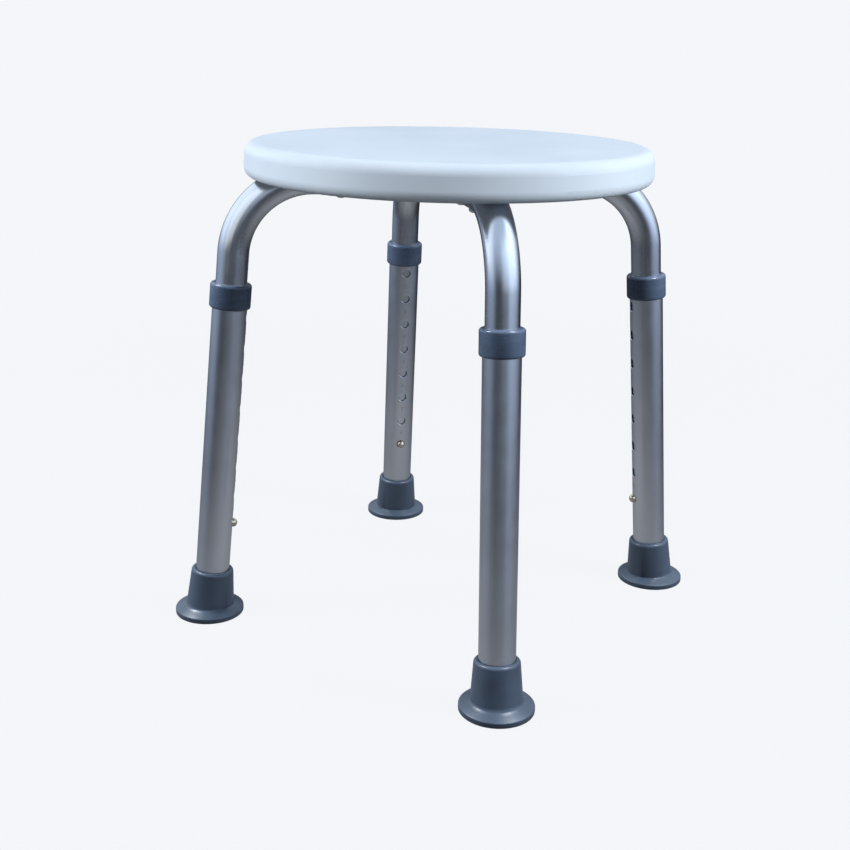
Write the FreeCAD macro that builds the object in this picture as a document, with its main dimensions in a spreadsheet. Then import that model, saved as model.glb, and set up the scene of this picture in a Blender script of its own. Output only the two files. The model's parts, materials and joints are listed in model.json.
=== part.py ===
"""Round four-legged shower stool whose legs telescope on snap buttons.

Frame: millimetres, +Z up, origin on the floor under the middle of the seat.
The four legs stand at 45 degrees to X and Y and splay outwards. Each leg is a bent
upper tube, screwed into a channel under the seat, with a lower tube that slides on it.
"""

import FreeCAD, Part

import os
from math import cos, radians, sin, tan

from FreeCAD import Placement, Rotation, Vector
from Sketcher import Constraint

SIZES = [
    # alias, value, meaning
    ("seat_radius", 163.3, "largest radius of the seat, low on its side"),
    ("seat_draft", 1.6, "how much smaller the radius is at the top of the side"),
    ("seat_top", 394.2, "height of the sitting surface with the legs fully in"),
    ("seat_thickness", 27.0, "from the underside to the sitting surface"),
    ("seat_top_round", 9.0, "radius of the upper edge"),
    ("seat_bottom_round", 7.5, "radius of the lower edge"),
    ("seat_wall", 2.8, "wall of the hollow moulded seat"),
    ("seat_core_round", 5.0, "edge radius of the hollow inside"),
    ("channel_gap", 0.25, "room around a tube in its channel"),
    ("vent_radius", 3.0, "blowing hole in the middle of the underside"),
    ("dimple_circle", 92.0, "distance of the moulded dimples from the middle"),
    ("dimple_mouth", 13.0, "radius of a dimple at the underside"),
    ("dimple_floor", 6.0, "radius of a dimple at its deep end"),
    ("dimple_depth", 22.0, "depth of a dimple"),
    ("boss_radius", 6.5, "solid post that a screw bites into"),
    ("pilot_radius", 2.1, "pilot hole in a post"),
    ("leg_splay", 5.16, "angle between a leg and the vertical, degrees"),
    ("foot_circle", 200.8, "distance of a leg's axis from the middle, at the floor"),
    ("cross_height", 366.3, "height of the axis of a tube's level end"),
    ("cross_start", 28.0, "distance of a tube's inner end from the middle"),
    ("bend_radius", 63.5, "radius of the bend, at the tube's axis"),
    ("upper_radius", 12.5, "outer radius of an upper tube"),
    ("lower_radius", 14.0, "outer radius of a lower tube"),
    ("tube_wall", 1.2, "wall of both tubes"),
    ("upper_end", 62.0, "distance up the leg of the upper tube's lower end"),
    ("lower_end", 11.5, "distance up the leg of the lower tube's lower end"),
    ("lower_length", 270.3, "length of a lower tube"),
    ("first_hole", 80.9, "distance up the leg of the lowest hole and the button"),
    ("hole_pitch", 25.4, "spacing of the holes"),
    ("hole_count", 8, "holes in a lower tube"),
    ("hole_radius", 4.0, "radius of a hole in a lower tube"),
    ("button_hole_radius", 3.85, "radius of the hole in an upper tube"),
    ("collar_start", 265.6, "distance up the leg of a collar's lower rim"),
    ("collar_length", 20.2, "length of a collar"),
    ("collar_radius", 16.5, "outer radius of a collar"),
    ("collar_fit", 0.05, "room between a collar and the lower tube"),
    ("collar_guide_radius", 12.6, "bore that guides the upper tube"),
    ("collar_lip", 3.8, "height of the lip above the lower tube's end"),
    ("collar_round", 2.4, "radius of a collar's upper rim"),
    ("collar_foot_round", 1.9, "radius of a collar's lower rim"),
    ("foot_radius", 28.7, "radius of the flange on the floor"),
    ("foot_flange_edge", 4.2, "height of the flange's straight edge"),
    ("foot_flange_top", 7.9, "height of the flange where it meets the cup"),
    ("foot_flange_round", 1.1, "radius of the flange's rim"),
    ("foot_cup_top_radius", 17.4, "outer radius of the cup near its mouth"),
    ("foot_cup_base_radius", 20.2, "outer radius of the cup near the floor"),
    ("foot_cup_top", 39.6, "distance up the leg of the cup's mouth"),
    ("foot_cup_round", 2.7, "radius of the cup's mouth"),
    ("foot_blend", 1.2, "radius where the cup meets the flange"),
    ("foot_sole", 9.5, "thickness of rubber under the washer"),
    ("foot_fit", 0.05, "room between a foot and the lower tube"),
    ("foot_mouth_gap", 0.4, "how much wider the bore is at the cup's mouth"),
    ("foot_mouth_depth", 1.6, "depth over which the mouth widens"),
    ("tread_depth", 1.2, "depth of the ring grooves in the sole"),
    ("tread_width", 2.4, "width of a ring groove"),
    ("tread_inner", 11.0, "inner radius of the first ring groove"),
    ("tread_pitch", 6.0, "spacing of the ring grooves"),
    ("washer_radius", 13.6, "outer radius of the washer in a foot"),
    ("washer_bore", 5.0, "inner radius of the washer in a foot"),
    ("button_radius", 3.6, "radius of a snap button"),
    ("button_reach", 18.0, "distance of a button's tip from the leg's axis"),
    ("button_shoulder", 15.4, "distance from the axis of the dome's base"),
    ("button_seat", 9.9, "distance from the axis of a button's collar"),
    ("button_collar", 5.2, "radius of a button's collar"),
    ("button_collar_thickness", 1.0, "thickness of a button's collar"),
    ("rivet_radius", 2.0, "radius of the shank through the spring"),
    ("rivet_head", 2.8, "radius of the riveted end"),
    ("rivet_head_thickness", 0.6, "thickness of the riveted end"),
    ("spring_thickness", 0.8, "thickness of the leaf spring"),
    ("spring_width", 8.0, "width of the leaf spring"),
    ("spring_flat", 7.0, "half length of the flat that carries the button"),
    ("spring_height", 38.0, "height of the spring's bend above the button"),
    ("spring_back", 10.4, "distance from the axis of the far arm's outer face"),
    ("spring_bend", 3.8, "outer radius of the spring's bend"),
    ("spring_middle", 0.6, "distance of the bend's centre from the leg's axis"),
    ("screw_outer_circle", 87.0, "distance of the outer screws from the middle"),
    ("screw_inner_circle", 46.0, "distance of the inner screws from the middle"),
    ("screw_radius", 2.05, "radius of a screw's shank"),
    ("screw_length", 36.0, "length of a screw under its head"),
    ("screw_hole_radius", 2.5, "radius of the holes for the screws"),
    ("screw_head_radius", 4.4, "radius of a screw's head"),
    ("screw_head_height", 2.8, "height of a screw's head"),
    ("screw_head_edge", 1.0, "height of the straight edge of a screw's head"),
    ("recess_width", 1.0, "width of the cross recess"),
    ("recess_span", 4.6, "span of the cross recess"),
    ("recess_depth", 1.6, "depth of the cross recess"),
]

LEGS = {"front_right": -45.0, "back_right": 45.0, "back_left": 135.0, "front_left": 225.0}

doc = FreeCAD.newDocument("shower_stool")
sheet = doc.addObject("Spreadsheet::Sheet", "sizes")
for row, (alias, value, meaning) in enumerate(SIZES, start=1):
    sheet.set(f"A{row}", meaning)
    sheet.set(f"B{row}", str(value))
    sheet.setAlias(f"B{row}", alias)
doc.recompute()
size = {alias: float(sheet.get(alias)) for alias, _, _ in SIZES}

nodes = []


# ---------------------------------------------------------------- helpers


def bound(expression):
    """The expression with every sheet alias in it written as sizes.alias."""
    words = []
    word = ""
    for letter in expression + " ":
        if letter.isalnum() or letter == "_":
            word += letter
            continue
        words.append("sizes." + word if word in size else word)
        words.append(letter)
        word = ""
    return "".join(words).strip()


def number(expression):
    """What an expression of sheet aliases comes to."""
    return float(sheet.evalExpression(bound(expression)))


def bind(target, prop, expression):
    target.setExpression(prop, bound(expression))


def new_body(name):
    body = doc.addObject("PartDesign::Body", name)
    body.Label = name
    return body


def new_sketch(body, name, role, lift=None, tilt=None, across=None):
    """A sketch on one of the body's own origin planes, lifted, shifted or tilted from it."""
    sketch = body.newObject("Sketcher::SketchObject", name)
    plane = next(f for f in body.Origin.OriginFeatures if f.Role == role)
    sketch.AttachmentSupport = [(plane, "")]
    sketch.MapMode = "FlatFace"
    if tilt is not None:
        axis, degrees = tilt
        sketch.AttachmentOffset = Placement(Vector(), Rotation(axis, number(degrees)))
    if lift is not None:
        bind(sketch, "AttachmentOffset.Base.z", lift)
    if across is not None:
        bind(sketch, "AttachmentOffset.Base.y", across)
    return sketch


def axis_of(body, role):
    return next(f for f in body.Origin.OriginFeatures if f.Role == role)


def constrain_point(sketch, geometry, vertex, x, y):
    """Ties a point to its x and y, each an expression of sheet aliases."""
    for kind, expression, own_axis in (("DistanceX", x, -2), ("DistanceY", y, -1)):
        value = number(expression)
        if abs(value) < 1e-9:
            sketch.addConstraint(Constraint("PointOnObject", geometry, vertex, own_axis))
            continue
        index = sketch.addConstraint(Constraint(kind, -1, 1, geometry, vertex, value))
        bind(sketch, f"Constraints[{index}]", expression)


def closed_outline(sketch, corners, arcs=()):
    """Closed outline through corners of (x, y) expressions.

    arcs gives, for the number of a corner, a point (x, y) that the arc from that corner
    to the next one passes through. Every other stretch is a straight line.
    """
    arcs = dict(arcs)
    places = [Vector(number(x), number(y), 0) for x, y in corners]
    starts = []
    for i, here in enumerate(places):
        there = places[(i + 1) % len(places)]
        if i in arcs:
            through = Vector(number(arcs[i][0]), number(arcs[i][1]), 0)
            arc = Part.Arc(here, through, there)
            geometry = sketch.addGeometry(arc, False)
            first = sketch.getPoint(geometry, 1)
            starts.append((geometry, 1, 2) if (first - here).Length < 1e-6 else (geometry, 2, 1))
        else:
            geometry = sketch.addGeometry(Part.LineSegment(here, there), False)
            starts.append((geometry, 1, 2))
    for i, (geometry, first, last) in enumerate(starts):
        following, following_first, _ = starts[(i + 1) % len(starts)]
        sketch.addConstraint(
            Constraint("Coincident", geometry, last, following, following_first)
        )
        constrain_point(sketch, geometry, first, *corners[i])
        if i in arcs:
            middle = sketch.addGeometry(
                Part.Point(Vector(number(arcs[i][0]), number(arcs[i][1]), 0)), True
            )
            constrain_point(sketch, middle, 1, *arcs[i])
            sketch.addConstraint(Constraint("PointOnObject", middle, 1, geometry))


def circle(sketch, radius, x="0", y="0"):
    centre = Vector(number(x), number(y), 0)
    geometry = sketch.addGeometry(Part.Circle(centre, Vector(0, 0, 1), number(radius)), False)
    index = sketch.addConstraint(Constraint("Radius", geometry, number(radius)))
    bind(sketch, f"Constraints[{index}]", radius)
    if abs(centre.x) < 1e-9 and abs(centre.y) < 1e-9:
        sketch.addConstraint(Constraint("Coincident", geometry, 3, -1, 1))
    else:
        constrain_point(sketch, geometry, 3, x, y)


def revolve(body, sketch, kind="PartDesign::Revolution", axis="V_Axis"):
    feature = body.newObject(kind, kind.split("::")[1])
    feature.Profile = sketch
    feature.ReferenceAxis = (sketch, [axis])
    feature.Angle = 360
    doc.recompute()
    return feature


def pad(body, sketch, length, midplane=False):
    feature = body.newObject("PartDesign::Pad", "Pad")
    feature.Profile = sketch
    feature.Midplane = midplane
    bind(feature, "Length", length)
    doc.recompute()
    return feature


def pocket(body, sketch, length, midplane=False):
    """Cuts away from the sketch's normal, or both ways, and makes sure that it cut."""
    before = body.Shape.Volume
    feature = body.newObject("PartDesign::Pocket", "Pocket")
    feature.Profile = sketch
    feature.Midplane = midplane
    bind(feature, "Length", length)
    doc.recompute()
    assert body.Shape.Volume < before - 0.1, f"{body.Label}: {sketch.Name} cuts nothing"
    return feature


def round_edges(body, radius, chosen):
    """Fillets the edges of the body's last feature that chosen(edge) accepts."""
    base = body.Tip
    names = [f"Edge{i}" for i, e in enumerate(base.Shape.Edges, start=1) if chosen(e)]
    assert names, f"{body.Label}: no edge to round"
    feature = body.newObject("PartDesign::Fillet", "Fillet")
    feature.Base = (base, names)
    bind(feature, "Radius", radius)
    doc.recompute()
    return feature


def ring_edge(radius, height):
    """Accepts a full circle of this radius at this height in the body's own frame."""

    def chosen(edge):
        curve = edge.Curve
        if not isinstance(curve, Part.Circle):
            return False
        return abs(curve.Radius - number(radius)) < 0.02 and abs(curve.Center.z - number(height)) < 0.02

    return chosen


def finish(body, placement, node=None):
    """Puts a finished piece in its place and lists it as a node of the object."""
    body.Placement = placement
    if node:
        body.Label = node
        nodes.append(body)
    return body


def radial_place(azimuth):
    """Frame with X outwards along a leg's radial plane and Z up."""
    return Placement(Vector(), Rotation(Vector(0, 0, 1), azimuth))


def leg_place(azimuth):
    """Frame on the floor with Z up along a leg's axis and X outwards, square to it."""
    lean = Placement(
        Vector(size["foot_circle"], 0, 0), Rotation(Vector(0, 1, 0), -size["leg_splay"])
    )
    return radial_place(azimuth) * lean


# ---------------------------------------------------------------- tube run


def tube_run(name, outer, bore=None):
    """A tube that runs level under the seat, bends down and follows the leg's axis."""
    body = new_body(name)
    splay = radians(size["leg_splay"])
    height = size["cross_height"]
    radius = size["bend_radius"]
    foot = size["foot_circle"]
    corner = foot - height * tan(splay)
    tangent = radius * tan((radians(90) - splay) / 2)
    bend_start = Vector(corner - tangent, height, 0)
    centre = Vector(bend_start.x, height - radius, 0)
    bend_end = centre + Vector(cos(splay), sin(splay), 0) * radius
    reach = size["upper_end"]
    low_end = Vector(foot - reach * sin(splay), reach * cos(splay), 0)

    spine = new_sketch(body, name + "_path", "XZ_Plane")
    level = spine.addGeometry(
        Part.LineSegment(Vector(size["cross_start"], height, 0), bend_start), False
    )
    whole = Part.Circle(centre, Vector(0, 0, 1), radius)
    bend = spine.addGeometry(Part.ArcOfCircle(whole, splay, radians(90)), False)
    leg = spine.addGeometry(Part.LineSegment(bend_end, low_end), False)
    floor_point = spine.addGeometry(Part.Point(Vector(foot, 0, 0)), True)
    spine.addConstraint(Constraint("Tangent", level, 2, bend, 2))
    spine.addConstraint(Constraint("Tangent", bend, 1, leg, 1))
    spine.addConstraint(Constraint("Horizontal", level))
    index = spine.addConstraint(Constraint("Radius", bend, radius))
    bind(spine, f"Constraints[{index}]", "bend_radius")
    constrain_point(spine, level, 1, "cross_start", "cross_height")
    constrain_point(spine, floor_point, 1, "foot_circle", "0")
    constrain_point(
        spine,
        leg,
        2,
        "foot_circle - upper_end * sin(leg_splay * 1deg)",
        "upper_end * cos(leg_splay * 1deg)",
    )
    spine.addConstraint(Constraint("PointOnObject", floor_point, 1, leg))

    profile = new_sketch(
        body, name + "_section", "YZ_Plane", lift="cross_start", across="cross_height"
    )
    circle(profile, outer)
    if bore:
        circle(profile, bore)
    doc.recompute()
    pipe = body.newObject("PartDesign::AdditivePipe", "Pipe")
    pipe.Profile = profile
    pipe.Spine = (spine, [f"Edge{i}" for i in (1, 2, 3)])
    doc.recompute()
    return body


# ---------------------------------------------------------------- seat


def seat_disc(name, inset, bottom_round, top_round):
    """The seat's outside, or its hollow if inset by the wall."""
    body = new_body(name)
    sketch = new_sketch(body, name + "_outline", "XZ_Plane")
    bottom = f"seat_top - seat_thickness + {inset}"
    top = f"seat_top - {inset}"
    low_radius = f"seat_radius - {inset}"
    high_radius = f"seat_radius - seat_draft - {inset}"
    closed_outline(
        sketch, [("0", bottom), (low_radius, bottom), (high_radius, top), ("0", top)]
    )
    revolve(body, sketch)
    round_edges(body, bottom_round, ring_edge(low_radius, bottom))
    round_edges(body, top_round, ring_edge(high_radius, top))
    return body


def post(name, radius, bottom, length, distance, azimuth):
    """An upright cylinder at a distance from the middle."""
    cylinder = doc.addObject("Part::Cylinder", name)
    bind(cylinder, "Radius", radius)
    bind(cylinder, "Height", length)
    bearing = radians(azimuth)
    cylinder.Placement = Placement(
        Vector(number(distance) * cos(bearing), number(distance) * sin(bearing), number(bottom)),
        Rotation(),
    )
    return cylinder


def dimple(name, grow, deeper, azimuth):
    """A tapered dimple in the underside, or the wall around it if grown."""
    cone = doc.addObject("Part::Cone", name)
    bind(cone, "Radius1", f"dimple_mouth + {grow}")
    bind(cone, "Radius2", f"dimple_floor + {grow}")
    bind(cone, "Height", f"dimple_depth + {deeper}")
    bearing = radians(azimuth)
    distance = size["dimple_circle"]
    cone.Placement = Placement(
        Vector(distance * cos(bearing), distance * sin(bearing), number("seat_top - seat_thickness")),
        Rotation(),
    )
    return cone


def joined(name, kind, pieces):
    boolean = doc.addObject(kind, name)
    boolean.Shapes = pieces
    return boolean


def difference(name, base, tool):
    cut = doc.addObject("Part::Cut", name)
    cut.Base = base
    cut.Tool = tool
    return cut


def make_seat():
    """Hollow moulded disc with channels for the tubes, screw posts and dimples."""
    solid_parts = []
    cuts = []
    for name, azimuth in LEGS.items():
        wall = tube_run(f"channel_wall_{name}", "upper_radius + channel_gap + seat_wall")
        solid_parts.append(finish(wall, radial_place(azimuth)))
        channel = tube_run(f"channel_{name}", "upper_radius + channel_gap")
        cuts.append(finish(channel, radial_place(azimuth)))
        for place in ("outer", "inner"):
            distance = f"screw_{place}_circle"
            solid_parts.append(
                post(
                    f"screw_post_{place}_{name}",
                    "boss_radius",
                    "cross_height",
                    "seat_top - cross_height - seat_wall / 2",
                    distance,
                    azimuth,
                )
            )
            cuts.append(
                post(
                    f"pilot_{place}_{name}",
                    "pilot_radius",
                    "cross_height",
                    "screw_length - upper_radius + 0.8",
                    distance,
                    azimuth,
                )
            )
        between = azimuth + 45
        solid_parts.append(dimple(f"dimple_wall_{name}", "seat_wall", "seat_wall", between))
        cuts.append(dimple(f"dimple_{name}", "0", "0", between))
    vent_start = "seat_top - seat_thickness - 1"
    cuts.append(post("vent", "vent_radius", vent_start, "seat_wall + 3", "0", 0))

    skin = seat_disc("seat_skin", "0", "seat_bottom_round", "seat_top_round")
    core = seat_disc("seat_core", "seat_wall", "seat_core_round", "seat_core_round")
    hollow = difference("seat_hollow", core, joined("seat_inside", "Part::MultiFuse", solid_parts))
    shell = difference("seat_shell", skin, hollow)
    seat = difference("seat", shell, joined("seat_cuts", "Part::MultiFuse", cuts))
    doc.recompute()
    nodes.append(seat)


# ---------------------------------------------------------------- legs


def make_upper_tube(leg, azimuth):
    body = tube_run(f"upper_tube_{leg}", "upper_radius", "upper_radius - tube_wall")
    for place in ("outer", "inner"):
        hole = new_sketch(body, f"screw_hole_{place}", "XY_Plane", lift="cross_height")
        circle(hole, "screw_hole_radius", f"screw_{place}_circle", "0")
        pocket(body, hole, "upper_radius * 3", midplane=True)
    window = new_sketch(
        body,
        "button_window",
        "YZ_Plane",
        lift="foot_circle - first_hole * sin(leg_splay * 1deg)",
        across="first_hole * cos(leg_splay * 1deg)",
        tilt=(Vector(-1, 0, 0), "leg_splay"),
    )
    circle(window, "button_hole_radius")
    pocket(body, window, "upper_radius + 2")
    finish(body, radial_place(azimuth), f"upper_tube_{leg}")


def make_lower_tube(leg, azimuth):
    body = new_body(f"lower_tube_{leg}")
    section = new_sketch(body, "section", "XY_Plane", lift="lower_end")
    circle(section, "lower_radius")
    circle(section, "lower_radius - tube_wall")
    pad(body, section, "lower_length")
    hole = new_sketch(body, "hole", "YZ_Plane")
    circle(hole, "hole_radius", "0", "first_hole")
    first = pocket(body, hole, "lower_radius + 2")
    row = body.newObject("PartDesign::LinearPattern", "hole_row")
    row.Originals = [first]
    row.Direction = (axis_of(body, "Z_Axis"), [""])
    bind(row, "Length", "hole_pitch * (hole_count - 1)")
    bind(row, "Occurrences", "hole_count")
    body.Tip = row
    doc.recompute()
    finish(body, leg_place(azimuth), f"lower_tube_{leg}")


def make_collar(leg, azimuth):
    """Plastic sleeve on the lower tube's end, with a lip that guides the upper tube."""
    body = new_body(f"collar_{leg}")
    sketch = new_sketch(body, "outline", "XZ_Plane")
    bore = "lower_radius + collar_fit"
    end = "collar_start + collar_length"
    closed_outline(
        sketch,
        [
            (bore, "collar_start"),
            ("collar_radius", "collar_start"),
            ("collar_radius", end),
            ("collar_guide_radius", end),
            ("collar_guide_radius", f"{end} - collar_lip"),
            (bore, f"{end} - collar_lip"),
        ],
    )
    revolve(body, sketch)
    round_edges(body, "collar_round", ring_edge("collar_radius", end))
    round_edges(body, "collar_foot_round", ring_edge("collar_radius", "collar_start"))
    finish(body, leg_place(azimuth), f"collar_{leg}")


def where_cup_meets_flange(edge):
    """Accepts the closed curve in which the leaning cup cuts the flat foot's cone."""
    box = edge.BoundBox
    width = 2 * size["foot_cup_base_radius"]
    return isinstance(edge.Curve, Part.BSplineCurve) and abs(box.XLength - width) < 4


def make_foot(leg, azimuth):
    """Rubber foot: the flange lies flat on the floor and the cup leans with the leg."""
    body = new_body(f"foot_{leg}")
    upright = (Vector(0, 0, -1), "leg_splay")
    slope = "(foot_flange_top - foot_flange_edge) / (foot_radius - foot_cup_base_radius)"
    hidden_top = f"foot_flange_edge + (foot_radius - lower_radius - 1) * {slope}"
    flange = new_sketch(body, "flange_outline", "XZ_Plane", tilt=upright)
    closed_outline(
        flange,
        [
            ("0", "0"),
            ("foot_radius", "0"),
            ("foot_radius", "foot_flange_edge"),
            ("lower_radius + 1", hidden_top),
            ("0", hidden_top),
        ],
    )
    revolve(body, flange)
    base = body.Tip
    rim_names = [
        f"Edge{i}"
        for i, e in enumerate(base.Shape.Edges, start=1)
        if isinstance(e.Curve, Part.Circle)
        and abs(e.Curve.Radius - size["foot_radius"]) < 0.01
        and e.Curve.Center.Length > size["foot_flange_edge"] / 2
    ]
    rim = body.newObject("PartDesign::Fillet", "rim")
    rim.Base = (base, rim_names)
    bind(rim, "Radius", "foot_flange_round")
    doc.recompute()

    cup = new_sketch(body, "cup_outline", "XZ_Plane")
    closed_outline(
        cup,
        [
            ("0", "foot_flange_edge"),
            ("foot_cup_base_radius", "foot_flange_edge"),
            ("foot_cup_top_radius", "foot_cup_top"),
            ("0", "foot_cup_top"),
        ],
    )
    revolve(body, cup)
    round_edges(body, "foot_cup_round", ring_edge("foot_cup_top_radius", "foot_cup_top"))
    round_edges(body, "foot_blend", where_cup_meets_flange)

    before = body.Shape.Volume
    bore = new_sketch(body, "bore_outline", "XZ_Plane")
    bore_radius = "lower_radius + foot_fit"
    closed_outline(
        bore,
        [
            ("0", "foot_sole"),
            (bore_radius, "foot_sole"),
            (bore_radius, "foot_cup_top - foot_mouth_depth"),
            (f"{bore_radius} + foot_mouth_gap", "foot_cup_top"),
            (f"{bore_radius} + foot_mouth_gap", "foot_cup_top + 2"),
            ("0", "foot_cup_top + 2"),
        ],
    )
    revolve(body, bore, "PartDesign::Groove")
    assert body.Shape.Volume < before - 1000, "the foot has no bore"

    before = body.Shape.Volume
    for ring in (0, 1):
        tread = new_sketch(body, f"tread_{ring}", "XZ_Plane", tilt=upright)
        start = f"tread_inner + {ring} * tread_pitch"
        closed_outline(
            tread,
            [
                (start, "0 - tread_depth"),
                (f"{start} + tread_width", "0 - tread_depth"),
                (f"{start} + tread_width", "tread_depth"),
                (start, "tread_depth"),
            ],
        )
        revolve(body, tread, "PartDesign::Groove")
    assert body.Shape.Volume < before - 10, "the sole has no tread"
    finish(body, leg_place(azimuth), f"foot_{leg}")


def make_washer(leg, azimuth):
    """Steel washer that keeps the tube's end from cutting the rubber."""
    body = new_body(f"foot_washer_{leg}")
    section = new_sketch(body, "section", "XY_Plane", lift="foot_sole")
    circle(section, "washer_radius")
    circle(section, "washer_bore")
    pad(body, section, "lower_end - foot_sole")
    finish(body, leg_place(azimuth), f"foot_washer_{leg}")


def make_button(leg, azimuth):
    """Domed button with a collar, riveted to the spring's near arm."""
    body = new_body(f"snap_button_{leg}")
    sketch = new_sketch(body, "outline", "XZ_Plane", across="first_hole")
    back = "0 - button_seat + button_collar_thickness"
    rivet = f"{back} + spring_thickness"
    end = f"{rivet} + rivet_head_thickness"
    closed_outline(
        sketch,
        [
            ("0 - button_reach", "0"),
            ("0 - button_shoulder", "button_radius"),
            ("0 - button_seat", "button_radius"),
            ("0 - button_seat", "button_collar"),
            (back, "button_collar"),
            (back, "rivet_radius"),
            (rivet, "rivet_radius"),
            (rivet, "rivet_head"),
            (end, "rivet_head"),
            (end, "0"),
        ],
        arcs={0: ("0 - button_reach + 0.56", "button_radius * 0.55")},
    )
    revolve(body, sketch, axis="H_Axis")
    finish(body, leg_place(azimuth), f"snap_button_{leg}")


def make_spring(leg, azimuth):
    """Leaf spring bent to a V inside the upper tube; one arm carries the button."""
    body = new_body(f"snap_spring_{leg}")
    sketch = new_sketch(body, "outline", "XZ_Plane", across="first_hole")
    near_face = "0 - button_seat + button_collar_thickness"
    near_back = f"{near_face} + spring_thickness"
    far_front = "spring_back - spring_thickness"
    inner_bend = "(spring_bend - spring_thickness)"
    closed_outline(
        sketch,
        [
            (near_face, "0 - spring_flat"),
            (near_face, "spring_flat"),
            ("spring_middle - spring_bend", "spring_height"),
            ("spring_middle + spring_bend", "spring_height"),
            ("spring_back", "spring_flat"),
            ("spring_back", "0 - spring_flat"),
            (far_front, "0 - spring_flat"),
            (far_front, "spring_flat"),
            (f"spring_middle + {inner_bend}", "spring_height"),
            (f"spring_middle - {inner_bend}", "spring_height"),
            (near_back, "spring_flat"),
            (near_back, "0 - spring_flat"),
        ],
        arcs={
            2: ("spring_middle", "spring_height + spring_bend"),
            8: ("spring_middle", f"spring_height + {inner_bend}"),
        },
    )
    pad(body, sketch, "spring_width", midplane=True)
    hole = new_sketch(body, "rivet_hole", "YZ_Plane")
    circle(hole, "rivet_radius + 0.05", "0", "first_hole")
    pocket(body, hole, "button_seat + 2")
    finish(body, leg_place(azimuth), f"snap_spring_{leg}")


# ---------------------------------------------------------------- screws


def make_screw(name, distance, azimuth):
    """Pan-head screw that points up through a tube's level end into the seat."""
    body = new_body(name)
    sketch = new_sketch(body, "outline", "XZ_Plane")
    closed_outline(
        sketch,
        [
            ("0", "0 - screw_head_height"),
            ("screw_head_radius", "0 - screw_head_edge"),
            ("screw_head_radius", "0"),
            ("screw_radius", "0"),
            ("screw_radius", "screw_length - 2"),
            ("0.5", "screw_length"),
            ("0", "screw_length"),
        ],
        arcs={0: ("screw_head_radius * 0.7", "0 - screw_head_height * 0.84")},
    )
    revolve(body, sketch)
    cross = new_sketch(body, "cross_recess", "XY_Plane", lift="recess_depth - screw_head_height")
    arm = "recess_width / 2"
    reach = "recess_span / 2"
    closed_outline(
        cross,
        [
            (f"0 - {reach}", f"0 - {arm}"),
            (f"0 - {arm}", f"0 - {arm}"),
            (f"0 - {arm}", f"0 - {reach}"),
            (arm, f"0 - {reach}"),
            (arm, f"0 - {arm}"),
            (reach, f"0 - {arm}"),
            (reach, arm),
            (arm, arm),
            (arm, reach),
            (f"0 - {arm}", reach),
            (f"0 - {arm}", arm),
            (f"0 - {reach}", arm),
        ],
    )
    pocket(body, cross, "screw_head_height")
    bearing = radians(azimuth)
    height = size["cross_height"] - size["upper_radius"]
    place = Vector(number(distance) * cos(bearing), number(distance) * sin(bearing), height)
    return finish(body, Placement(place, Rotation(Vector(0, 0, 1), azimuth)))


def make_screws():
    screws = [
        make_screw(f"screw_{place}_{leg}", f"screw_{place}_circle", azimuth)
        for leg, azimuth in LEGS.items()
        for place in ("outer", "inner")
    ]
    group = doc.addObject("Part::Compound", "seat_screws")
    group.Links = screws
    doc.recompute()
    nodes.append(group)


# ---------------------------------------------------------------- build and write


def check_and_write():
    doc.recompute()
    for item in doc.Objects:
        bad = [word for word in item.State if word in ("Invalid", "Error")]
        assert not bad, f"{item.Label} is {bad}"
    os.makedirs("parts", exist_ok=True)
    for node in nodes:
        shape = node.Shape
        assert not shape.isNull() and shape.isValid(), f"{node.Label} has a bad shape"
        assert shape.Solids, f"{node.Label} has no solid"
        shape.exportStep(f"parts/{node.Label}.step")
        print(f"{node.Label}: {len(shape.Solids)} solids, {shape.Volume / 1000:.2f} cm3")


make_seat()
for leg_name, leg_azimuth in LEGS.items():
    make_upper_tube(leg_name, leg_azimuth)
    make_lower_tube(leg_name, leg_azimuth)
    make_collar(leg_name, leg_azimuth)
    make_foot(leg_name, leg_azimuth)
    make_washer(leg_name, leg_azimuth)
    make_button(leg_name, leg_azimuth)
    make_spring(leg_name, leg_azimuth)
make_screws()
check_and_write()
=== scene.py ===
import json
from math import atan2, cos, degrees, hypot, pi, radians, sin, sqrt, tan

import bpy
from mathutils import Matrix, Vector


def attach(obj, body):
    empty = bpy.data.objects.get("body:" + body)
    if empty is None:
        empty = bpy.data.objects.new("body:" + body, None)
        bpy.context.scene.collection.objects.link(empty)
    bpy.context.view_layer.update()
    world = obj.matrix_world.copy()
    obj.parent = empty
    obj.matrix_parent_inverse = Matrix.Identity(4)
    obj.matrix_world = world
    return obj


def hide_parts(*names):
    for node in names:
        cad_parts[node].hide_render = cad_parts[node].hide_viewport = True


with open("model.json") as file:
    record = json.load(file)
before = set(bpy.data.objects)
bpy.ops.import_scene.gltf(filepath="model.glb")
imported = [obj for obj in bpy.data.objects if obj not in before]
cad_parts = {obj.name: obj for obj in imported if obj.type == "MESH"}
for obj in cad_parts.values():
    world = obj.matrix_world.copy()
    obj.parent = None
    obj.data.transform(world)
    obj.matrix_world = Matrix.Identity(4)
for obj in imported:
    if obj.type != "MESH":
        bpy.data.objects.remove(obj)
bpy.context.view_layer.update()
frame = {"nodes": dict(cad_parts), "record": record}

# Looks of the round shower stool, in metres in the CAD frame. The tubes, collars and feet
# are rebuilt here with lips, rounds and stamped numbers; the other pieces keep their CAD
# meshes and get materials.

MM = 0.001
LEGS = ("front_right", "back_right", "back_left", "front_left")

# ---------------------------------------------------------------- sizes

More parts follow.
